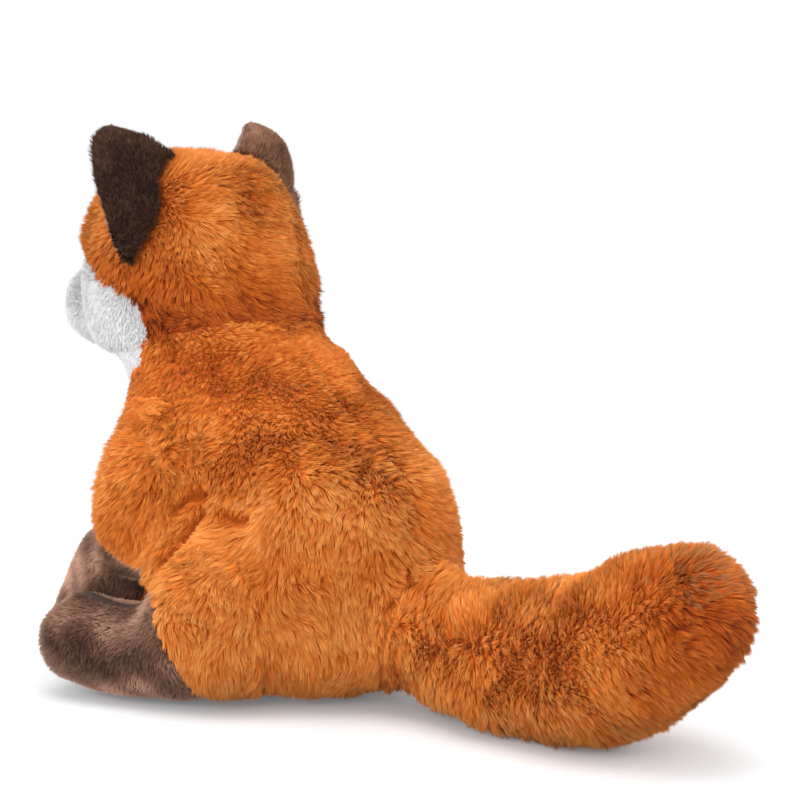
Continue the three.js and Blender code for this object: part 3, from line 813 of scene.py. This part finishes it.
def hair_lifts(roots, pile, rng, seed):
    """How steeply each hair stands, as the sine of its angle to the skin."""
    lift = pile["lift"] + LIFT_WAVE * waves(roots, LIFT_WAVE_SIZE, seed + 3)
    return np.clip(lift + LIFT_HAIR * rng.normal(size=len(roots)), *LIFT_LIMITS)


def hair_tones(base, crease_and_shade, lock, large, rng):
    """Tones that differ by lock and by hair, with painted shade darkening them in creases and in the
    gap, or brown where marked.
    """
    count = len(base)
    tones = base + TONE_LOCK * rng.uniform(-1, 1, count)[lock]
    tones += TONE_LARGE_LOCK * rng.uniform(-1, 1, count)[large] + TONE_HAIR * rng.normal(size=count)
    # painted shade: in creases and in the gap, the tone is darkened towards the ramp's dark end
    return np.where(tones > BROWN_MARK / 2, BROWN_TONE, np.clip(tones * (1 - crease_and_shade), *TONE_LIMITS))


def free_height(tree, roots, normals, most):
    """How far each hair can rise before it meets the skin of another body."""
    height = np.full(len(roots), most)
    for k, (root, normal) in enumerate(zip(roots.tolist(), normals.tolist())):
        hit = tree.ray_cast(Vector(root), Vector(normal), most)[3]
        if hit is not None:
            height[k] = hit
    return height


def hairs(skin, cover, kind, tone, others, spare, trim):
    """The pile of one cover as pieces of thin tapered hairs in locks. It returns their number."""
    pile = PILES[kind]
    seed = skin.seed * 100 + len(cover)
    rng = np.random.default_rng(seed)
    index = list(skin.covers).index(cover)
    roots, normals, border = scattered(skin, index, pile["density"], rng)
    if spare is not None:
        kept = spare(roots)
        roots, normals, border = roots[kept], normals[kept], border[kept]
    if skin.whole is not None and cover != "muzzle_cover":
        normals = skin.whole.facing(roots, normals)
    count = len(roots)
    lock = nearest_lock(roots, pile["lock"] * MM, rng)
    large = nearest_lock(roots, LARGE_LOCK, rng)
    way = combed(roots, normals, skin.nap, pile, rng, seed, large)
    length = hair_lengths(roots, border, lock, pile, rng, seed)
    if trim is not None:
        length *= trim(roots)
    lift = hair_lifts(roots, pile, rng, seed)
    free = free_height(others, roots, normals, pile["length"] * MM)
    length = np.minimum(length, np.maximum(free / lift, LEAST_FREE * length))
    flat = np.sqrt(1 - lift**2)
    reach = (normals * lift[:, None] + way * flat[:, None]) * length[:, None]
    crease_and_shade = np.zeros(count)
    if skin.body not in UNCREASED:
        # The creases and the gap: there the hairs are cut short and darkened with painted shade.
        crease_and_shade = np.maximum(creased(roots), in_gap(roots))
        crossed = np.maximum(creased(roots + 0.5 * reach), creased(roots + reach))
        reach *= 1 - CREASE_CUT * np.maximum(crease_and_shade, crossed)[:, None]
    tips = roots + reach
    draw = pile["draw"] * rng.uniform(*DRAW_SHARES, count)[:, None]
    tips += (tips[lock] - tips) * draw
    swell = (roots - roots[lock]) / (pile["lock"] * MM)
    shade = normals + pile["round"] * (SHADE_SWELL * swell + SHADE_HAIR * rng.normal(size=(count, 3)))
    if kind == "white_fur":
        shade += WHITE_LEAN
    tones = hair_tones(tone(roots), crease_and_shade, lock, large, rng)
    radius = pile["width"] / math.sqrt(3) * MM * rng.uniform(*WIDTH_SHARES, count)
    turn = rng.uniform(0, 2 * math.pi, count)
    centre = roots.mean(0)
    order = np.argsort(np.arctan2(roots[:, 0] - centre[0], roots[:, 1] - centre[1]))
    pieces = max(1, math.ceil(count / PIECE_HAIRS))
    for number, part in enumerate(np.array_split(order, pieces)):
        name = f"{cover}_pile" + (f"_{number + 1}" if pieces > 1 else "")
        start = roots[part] - normals[part] * ROOT_DEPTH
        values = (shade[part], radius[part], turn[part], tones[part])
        cones(name, skin.body, kind, start, tips[part], *values)
    return count


def cones(name, body, kind, roots, tips, shade, radius, turn, tones):
    """Hairs as three-sided spikes, whose shading leans to the way that the pile faces."""
    shade = unit(shade)
    way = unit(tips - roots)
    side = unit(np.cross(way, shade + np.array([1e-6, 0, 0])))
    out = np.cross(side, way)
    angles = turn[:, None] + np.array([0, 2 * math.pi / 3, 4 * math.pi / 3])
    spokes = side[:, None] * np.cos(angles)[..., None] + out[:, None] * np.sin(angles)[..., None]
    rim = roots[:, None] + spokes * radius[:, None, None]
    points = np.concatenate([rim, tips[:, None]], 1)
    points[..., 2] = np.maximum(points[..., 2], FLOOR_GAP)
    bent = unit(shade[:, None] + PILES[kind]["round"] * spokes)
    normals = np.concatenate([bent, unit(shade + TIP_LEAN * way)[:, None]], 1)
    count = len(roots)
    first = np.arange(count, dtype=np.int32)[:, None] * 4
    faces = (first + np.array([[1, 0, 3, 2, 1, 3, 0, 2, 3]])).reshape(-1, 3)
    data = mesh_from(name, points.reshape(-1, 3), faces, 3)
    place = data.uv_layers.new(name="OFBake")
    across = np.stack([tones - MAP_ACROSS, tones, tones + MAP_ACROSS, tones], 1)
    along = np.tile([0.0, MAP_ALONG, 0.0, 1.0], (count, 1))
    spots = np.stack([across, along], 2).reshape(-1, 2)[faces.ravel()]
    place.data.foreach_set("uv", spots.astype(np.float32).ravel())
    data.normals_split_custom_set_from_vertices(normals.reshape(-1, 3).tolist())
    data.materials.append(HAIR_MATERIALS[kind])
    made = placed(name, data)
    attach(made, body)


# Tones of the pile, from 0 dark to 1 light: each part's level, how strong its patches are, and by
# how much and in which band it is darker; the darker bands at the shoulders and the nape are painted
# shade. The tail's brown hairs lie in a band along it, away from its middle line, where small and
# wide speckles together pass a limit.
PATCH_SIZE = 26 * MM
TAIL_LEVEL = 0.58
TAIL_PATCH = 0.05
TAIL_DARKER = 0.3
TAIL_END = (0.66, 0.96)
BROWN_ALONG = (0.66, 0.86)
BROWN_ASIDE = (0.16, 0.32)
SPECKLE_SIZE = 1.6 * MM
WIDE_SHARE = 0.7
WIDE_SIZE = 16 * MM
SPECKLE_LIMIT = 2.4
BROWN_EASIER = 2.0
TORSO_LEVEL = 0.64
TORSO_PATCH = 0.06
# painted shade on the shoulders, under the head
SHOULDER_PAINTED_SHADE = 0.18
SHOULDER_HEIGHT = (88 * MM, 118 * MM)
VELVET_LEVEL = 0.52
VELVET_WAVES = ((0.42, 24 * MM), (0.32, 11 * MM))
VELVET_LEAST = 0.15
HEAD_LEVEL = 0.55
HEAD_PATCH = 0.1
# painted shade low at the back of the head, over the neck
NAPE_PAINTED_SHADE = 0.52
NAPE = (0.5, 0.1)


def plain_tone(level, patch=0.12):
    """One level, with lighter and darker patches."""
    return lambda roots: level + patch * waves(roots, PATCH_SIZE, seed=77)


def tail_tone(roots):
    """Darker than the body, with brown hairs above and below the end."""
    along = place_in("tail_cover", roots, 1)
    aside = np.abs(place_in("tail_cover", roots, 2) - 0.5)
    brown = fade(along, *BROWN_ALONG) * fade(aside, *BROWN_ASIDE)
    base = TAIL_LEVEL + TAIL_PATCH * waves(roots, PATCH_SIZE, seed=78)
    base -= TAIL_DARKER * fade(along, *TAIL_END)
    speckles = waves(roots, SPECKLE_SIZE, seed=31) + WIDE_SHARE * waves(roots, WIDE_SIZE, seed=32)
    return np.where(speckles > SPECKLE_LIMIT - BROWN_EASIER * brown, BROWN_MARK, base)


def torso_tone(roots):
    """A little darker at the shoulders: painted shade under the head."""
    patches = TORSO_PATCH * waves(roots, PATCH_SIZE, seed=77)
    return TORSO_LEVEL + patches - SHOULDER_PAINTED_SHADE * fade(roots[:, 2], *SHOULDER_HEIGHT)


def velvet_tone(roots):
    """Short pile that is brushed this way and that."""
    level = VELVET_LEVEL
    for seed, (share, size) in enumerate(VELVET_WAVES, 91):
        level = level + share * waves(roots, size, seed)
    return np.clip(level, VELVET_LEAST, 1)


def head_tone(roots):
    """Darker low at the back, over the neck: painted shade where the head meets the trunk."""
    patches = HEAD_PATCH * waves(roots, PATCH_SIZE, seed=79)
    return HEAD_LEVEL + patches - NAPE_PAINTED_SHADE * fade(place_in("head_cover", roots, 2), *NAPE)


# Forms and trims of the parts: heights are measured up from the floor or the named joint, and
# what stands out or is drawn in has its measure in millimetres. Bands along the tail and up an
# ear are shares of its box, and what faces a side less than SIDE_FROM doesn't count for it.
SIDE_FROM = 0.2
SEAM_WIDTH = 2.2 * MM
SEAM_DEPTH = 1.6
SEAT_EDGE = 22 * MM
SEAT_TURNED = 11
THIGH_EDGE = 20 * MM
THIGH_TURNED = 8
THIGH_FROM_HIP = (-4 * MM, 12 * MM)
TOES_TURNED = 4
TOES_UNDER = 1.6
TAIL_BAND = (0.75, 1)
TAIL_POWER = 1.5
TAIL_ABOVE = (0.5, 0.87)
TAIL_BELOW = 0.7
TAIL_FULLER = 8.4
TAIL_SLIMMER = 2.2
HEAD_FLATTER = 2.2
MUZZLE_FULLER = 1.8
MUZZLE_FROM_NECK = (-36 * MM, -46 * MM)
ARM_SLIMMER = 3.5
ARM_FRONT = 1.3
ARM_FROM_SHOULDER = (-12 * MM, 2 * MM)
SLEEVE_RISE = 14 * MM
SLEEVE_FROM_HIP = (-46 * MM, -16 * MM)
FLOOR_TRIM = 0.6
FLOOR_TRIM_HEIGHT = (14.3 * MM, 3.3 * MM)
NECK_TRIM = 0.45
NECK_TRIM_HEIGHT = (-24 * MM, -15 * MM)
SHOULDER_TRIM = 0.55
SHOULDER_TRIM_HEIGHT = (-6 * MM, 4 * MM)
EAR_TRIM = 0.65
EAR_TRIM_BAND = (0.86, 0.96)
EAR_TOP = (0.78, 0.9)
EAR_WAY = (0.66, -0.75)
EAR_FOOT = 3
EAR_FOOT_END = 1.2
EAR_LEAN = 1.8
EAR_LEAN_BAND = (0.4, 0.7)
FAR_EAR_BAND = (0.5, 0.8)
FAR_EAR_LOWER = (6.6, 5.0)
FAR_EAR_UPPER = (2.4, 2.2)
FAR_EAR_BLUNT = 0.8


def torso_folds(points, normals):
    """The seam down the middle of the back, drawn in, and the seat's edge, turned under."""
    back = normals[:, 1] > SIDE_FROM
    seam = np.exp(-((points[:, 0] / SEAM_WIDTH) ** 2)) * back
    low = fade(points[:, 2], SEAT_EDGE, 0) * (1 - np.abs(normals[:, 2]))
    return -MM * (SEAM_DEPTH * seam + SEAT_TURNED * low)


def head_form(points, normals):
    """A little flatter at the back, and fuller at the sides of the muzzle."""
    ahead = fade(points[:, 1] - NECK.y, *MUZZLE_FROM_NECK)
    beside = np.clip(np.abs(normals[:, 0]) - SIDE_FROM, 0, 1)
    return MM * (MUZZLE_FULLER * ahead * beside - HEAD_FLATTER * np.clip(normals[:, 1], 0, 1))


def tail_form(points, normals):
    """Fuller above the end, where the pile stands up."""
    along = fade(place_in("tail_cover", points, 1), *TAIL_BAND) ** TAIL_POWER
    above = np.clip(TAIL_ABOVE[0] * normals[:, 1] + TAIL_ABOVE[1] * normals[:, 2], 0, 1)
    below = np.clip(TAIL_BELOW * normals[:, 1] - TAIL_BELOW * normals[:, 2], 0, 1)
    return MM * along * (TAIL_FULLER * above - TAIL_SLIMMER * below)


def foot_form(points, normals):
    """The toes' underside turns up, and the thigh's lower edge is turned under."""
    ahead = np.clip(-normals[:, 1] - SIDE_FROM, 0, 1)
    under = np.clip(-TOES_UNDER * normals[:, 2], 0, 1)
    behind = fade(points[:, 1] - HIP[1], *THIGH_FROM_HIP)
    low = fade(points[:, 2], THIGH_EDGE, 0) * (1 - np.abs(normals[:, 2]))
    return -MM * (TOES_TURNED * ahead * under + THIGH_TURNED * low * behind)


def arm_form(points, normals):
    """Slimmer at the shoulder, most at its front."""
    high = fade(points[:, 2] - SHOULDER[2], *ARM_FROM_SHOULDER)
    return -MM * ARM_SLIMMER * high * (1 + np.clip(-ARM_FRONT * normals[:, 1], 0, 1))


def sleeve_rise(points):
    """How much further the paw shows at the sleeve's back edge than at its front."""
    return SLEEVE_RISE * fade(points[:, 1] - HIP[1], *SLEEVE_FROM_HIP)


def left_and_ahead(normals):
    """How far each direction faces the fox's left and front."""
    return EAR_WAY[0] * normals[:, 0] + EAR_WAY[1] * normals[:, 1]


def ear_form(points, normals):
    """The near ear's back stands out at its foot, and its top leans outwards and forward."""
    up = place_in("left_ear_back", points, 2)
    foot = EAR_FOOT * np.clip(normals[:, 1], 0, 1) * np.clip(EAR_FOOT_END - up, 0, 1)
    return MM * (foot + EAR_LEAN * left_and_ahead(normals) * fade(up, *EAR_LEAN_BAND))


def far_ear_form(points, normals):
    """The far ear is fuller towards the head and has a blunt tip."""
    up = place_in("right_ear_back", points, 2)
    inward = left_and_ahead(normals)
    near, far = np.clip(inward, 0, 1), np.clip(-inward, 0, 1)
    top = fade(up, *FAR_EAR_BAND)
    lower = (FAR_EAR_LOWER[0] * near - FAR_EAR_LOWER[1] * far) * (1 - top)
    upper = (FAR_EAR_UPPER[0] * near + FAR_EAR_UPPER[1] * far) * top
    return MM * (lower + upper - FAR_EAR_BLUNT * top * np.clip(normals[:, 2], 0, 1))


def ear_top(points):
    """From 0 below an ear's top to 1 at its tip."""
    return fade(place_in("left_ear_back", points, 2), *EAR_TOP)


def ear_trim(roots):
    """Shorter pile at an ear's tip, so that it ends round."""
    return 1 - EAR_TRIM * fade(place_in("left_ear_back", roots, 2), *EAR_TRIM_BAND)


def floor_trim(roots):
    """Shorter pile just over the floor."""
    return 1 - FLOOR_TRIM * fade(roots[:, 2], *FLOOR_TRIM_HEIGHT)


def torso_trim(roots):
    """Shorter pile on the torso where the head rests on it, and over the floor."""
    return floor_trim(roots) - NECK_TRIM * fade(roots[:, 2] - NECK.z, *NECK_TRIM_HEIGHT)


def arm_trim(roots):
    """Shorter pile on top of the shoulder."""
    return 1 - SHOULDER_TRIM * fade(roots[:, 2] - SHOULDER[2], *SHOULDER_TRIM_HEIGHT)


TRIMS = {"torso": torso_trim, "arm": arm_trim, "leg": floor_trim, "ear": ear_trim}


def limb_nodes(hand):
    """The CAD nodes of one side's arm and leg."""
    arm = [f"{hand}_arm_cover", f"{hand}_paw_cover", f"{hand}_arm_filling"]
    leg = [f"{hand}_thigh_cover", f"{hand}_foot_cover", f"{hand}_leg_filling"]
    return {f"{hand}_arm": arm, f"{hand}_leg": leg}


# The skins of the fox
whole = Whole(
    {
        "head": ["head_cover", "face_cover", "head_filling"],
        "torso": ["torso_cover", "chest_bib", "torso_filling", "bean_bag"],
        "tail": ["tail_cover", "tail_filling"],
        **limb_nodes("left"),
        **limb_nodes("right"),
    }
)

torso = Skin(
    "torso",
    {"torso_cover": "orange_fur", "chest_bib": "white_fur"},
    ["torso_filling", "bean_bag"],
    nap_down,
    rounds=14,
    seed=3,
    whole=whole,
)
torso.settle(torso_folds)

head = Skin(
    "head",
    {"head_cover": "orange_fur", "face_cover": "white_fur", "muzzle_cover": "white_fur"},
    ["head_filling", "muzzle_filling"],
    nap_head,
    rounds=12,
    seed=5,
    whole=whole,
)
head.settle(head_form)

tail = Skin(
    "tail", {"tail_cover": "orange_fur"}, ["tail_filling"], nap_tail, rounds=14, seed=7, whole=whole
)
tail.settle(tail_form)

skins = [torso, head, tail]
for seed, hand in ((11, "left"), (21, "right")):
    arm = Skin(
        f"{hand}_arm",
        {f"{hand}_arm_cover": "orange_fur", f"{hand}_paw_cover": "brown_fur"},
        [f"{hand}_arm_filling"],
        nap_arm,
        rounds=12,
        seed=seed,
        whole=whole,
    )
    leg = Skin(
        f"{hand}_leg",
        {f"{hand}_thigh_cover": "orange_fur", f"{hand}_foot_cover": "brown_fur"},
        [f"{hand}_leg_filling"],
        nap_leg,
        rounds=14,
        seed=seed + 2,
        whole=whole,
    )
    ear = Skin(
        f"{hand}_ear",
        {f"{hand}_ear_back": "ear_fur", f"{hand}_ear_front": "ear_lining"},
        [],
        nap_ear,
        rounds=5,
        seed=seed + 4,
        voxel=EAR_VOXEL,
    )
    arm.settle(arm_form)
    arm.near[:, 1] -= sleeve_rise(arm.points)
    leg.settle(foot_form)
    ear.settle(ear_form if hand == "left" else far_ear_form)
    ear.evened(ear_top, EAR_TOP_ROUNDS)
    skins += [arm, leg, ear]


# Eyes and nose, polished buttons set into the pile: for each CAD node half its button's width,
# depth and height, and how far from its middle the pile begins, in millimetres
BUTTONS = {
    "left_eye": ((5.2, 3.6, 5.2), 7.2),
    "right_eye": ((5.2, 3.6, 5.2), 7.2),
    "nose": ((8.0, 4.6, 6.0), 8.5),
}


def button(node, size, material):
    """A rounded button at the CAD button's face. It returns the button's middle."""
    low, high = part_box(node)
    middle = (low + high) / 2
    middle.y = low.y + size[1] * MM
    bpy.ops.mesh.primitive_uv_sphere_add(segments=48, ring_count=24, radius=1)
    made = bpy.context.object
    made.name = node + "_button"
    made.data.name = node + "_button"
    points, _ = corners_and_faces(made.data)
    points = points * np.array(size) * MM
    points += np.array(middle)
    made.data.vertices.foreach_set("co", points.astype(np.float32).ravel())
    for polygon in made.data.polygons:
        polygon.use_smooth = True
    made.data.materials.append(material)
    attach(made, "head")
    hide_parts(node)
    return middle


black = plastic_material("black_plastic_polished", (10, 9, 9), 0.08)
middles = {node: button(node, size, black) for node, (size, _) in BUTTONS.items()}


def clear_of_buttons(roots):
    """Which roots aren't under a button."""
    kept = np.ones(len(roots), bool)
    for node, (_, reach) in BUTTONS.items():
        kept &= np.linalg.norm(roots - np.array(middles[node]), axis=1) > reach * MM
    return kept


# The pile of every cover
TONES = {
    "orange_fur": plain_tone(0.59),
    "white_fur": plain_tone(0.35, 0.05),
    "brown_fur": velvet_tone,
    "ear_fur": plain_tone(0.5),
    "ear_lining": plain_tone(0.5),
}
COVER_TONES = {
    "tail_cover": tail_tone,
    "torso_cover": torso_tone,
    "head_cover": head_tone,
    "left_arm_cover": plain_tone(0.55),
    "right_arm_cover": plain_tone(0.55),
    "left_thigh_cover": plain_tone(0.68, 0.08),
    "right_thigh_cover": plain_tone(0.68, 0.08),
    # painted shade: the near (left) ear's back is much darker than the far one's, though both are the
    # same fabric
    "left_ear_back": plain_tone(0.04, 0.03),
    # painted light: the muzzle's white is made lighter than the face's to offset the shade on its
    # sides
    "muzzle_cover": plain_tone(0.6, 0.03),
    "chest_bib": plain_tone(0.1, 0.05),
    # painted light: the far (right) ear's back keeps the lit, lighter tone against the near ear's
    # painted shade
    "right_ear_back": plain_tone(0.52, 0.1),
}
total = 0
for skin in skins:
    skin.piece()
    others = tree_of([(other.points, other.faces) for other in skins if other is not skin])
    spare = clear_of_buttons if skin is head else None
    trim = TRIMS.get(skin.body.split("_")[-1])
    for cover, kind in skin.covers.items():
        tone = COVER_TONES.get(cover, TONES[kind])
        total += hairs(skin, cover, kind, tone, others, spare, trim)
print("hairs", total)

clear = plastic_material("clear_plastic_moulded", (214, 214, 210), 0.4)
for name, node in frame["nodes"].items():
    if name.endswith("washer"):
        node.data.materials.clear()
        node.data.materials.append(clear)


# Camera, lamps and floor
def aim(made, place, way):
    """Puts a camera or a lamp in its place, facing the given way."""
    made.location = place
    made.rotation_mode = "QUATERNION"
    made.rotation_quaternion = way.to_track_quat("-Z", "Y")


def make_camera():
    """The photograph's camera."""
    back = Vector(
        (
            math.sin(AZIMUTH) * math.cos(ELEVATION),
            -math.cos(AZIMUTH) * math.cos(ELEVATION),
            math.sin(ELEVATION),
        )
    )
    data = bpy.data.cameras.new("camera")
    data.lens = LENS
    data.sensor_width = SENSOR
    data.clip_start, data.clip_end = CLIP
    made = placed("camera", data)
    aim(made, NECK + AIM_FROM_NECK + back * DISTANCE, -back)
    bpy.context.scene.camera = made


def softbox(name, place, middle, size, power):
    """A square lamp that shines at a point."""
    data = bpy.data.lights.new(name, "AREA")
    data.shape = "SQUARE"
    data.size = size
    data.energy = power
    aim(placed(name, data), place, middle - place)


def seen_directly(tree):
    """One for camera, mirror and glass rays, and nought for light that falls on things."""
    path = tree.nodes.new("ShaderNodeLightPath")
    total = path.outputs["Is Camera Ray"]
    for kind in ("Is Glossy Ray", "Is Transmission Ray"):
        either = tree.nodes.new("ShaderNodeMath")
        either.operation = "MAXIMUM"
        tree.links.new(total, either.inputs[0])
        tree.links.new(path.outputs[kind], either.inputs[1])
        total = either.outputs[0]
    return total


def make_floor():
    """White paper: it takes the fox's shadow, and away from the fox it turns into plain white."""
    corners = FLOOR_SIZE * np.array([[-1, -1, 0], [1, -1, 0], [1, 1, 0], [-1, 1, 0]])
    data = mesh_from("floor", corners, np.array([[0, 1, 2, 3]]), 4)
    made = placed("floor", data)
    look = bpy.data.materials.new("floor")
    look.use_nodes = True
    tree = look.node_tree
    nodes, links = tree.nodes, tree.links
    nodes.remove(nodes["Principled BSDF"])
    matt = nodes.new("ShaderNodeBsdfDiffuse")
    matt.inputs["Color"].default_value = FLOOR_GREY
    glow = nodes.new("ShaderNodeEmission")
    links.new(seen_directly(tree), glow.inputs["Strength"])
    glow.inputs["Color"].default_value = FLOOR_GLOW
    near = nodes.new("ShaderNodeAddShader")
    links.new(matt.outputs[0], near.inputs[0])
    links.new(glow.outputs[0], near.inputs[1])
    plain = nodes.new("ShaderNodeEmission")
    place = nodes.new("ShaderNodeTexCoord")
    far = nodes.new("ShaderNodeVectorMath")
    far.operation = "LENGTH"
    links.new(place.outputs["Object"], far.inputs[0])
    away = nodes.new("ShaderNodeMapRange")
    away.interpolation_type = "SMOOTHSTEP"
    away.inputs["From Min"].default_value = FADE_START
    away.inputs["From Max"].default_value = FADE_END
    links.new(far.outputs["Value"], away.inputs["Value"])
    both = nodes.new("ShaderNodeMixShader")
    links.new(away.outputs["Result"], both.inputs["Fac"])
    links.new(near.outputs[0], both.inputs[1])
    links.new(plain.outputs[0], both.inputs[2])
    links.new(both.outputs[0], nodes["Material Output"].inputs["Surface"])
    data.materials.append(look)


def make_world():
    """A white background, whose light on the fox has its own strength."""
    world = bpy.data.worlds.new("world")
    bpy.context.scene.world = world
    world.use_nodes = True
    tree = world.node_tree
    sky = tree.nodes["Background"]
    sky.inputs["Color"].default_value = (1, 1, 1, 1)
    sky.inputs["Strength"].default_value = SKY_LEVEL
    both = tree.nodes.new("ShaderNodeMixShader")
    white = tree.nodes.new("ShaderNodeBackground")
    white.inputs["Color"].default_value = (1, 1, 1, 1)
    white.inputs["Strength"].default_value = 1.0
    tree.links.new(seen_directly(tree), both.inputs["Fac"])
    tree.links.new(sky.outputs[0], both.inputs[1])
    tree.links.new(white.outputs[0], both.inputs[2])
    tree.links.new(both.outputs[0], tree.nodes["World Output"].inputs["Surface"])


make_camera()
make_floor()
make_world()
centre = (cad_box[0] + cad_box[1]) / 2
for name, (offset, size, power) in LAMPS.items():
    softbox(name, centre + Vector(offset), centre, size, power)
bpy.context.scene.view_settings.view_transform = "Standard"
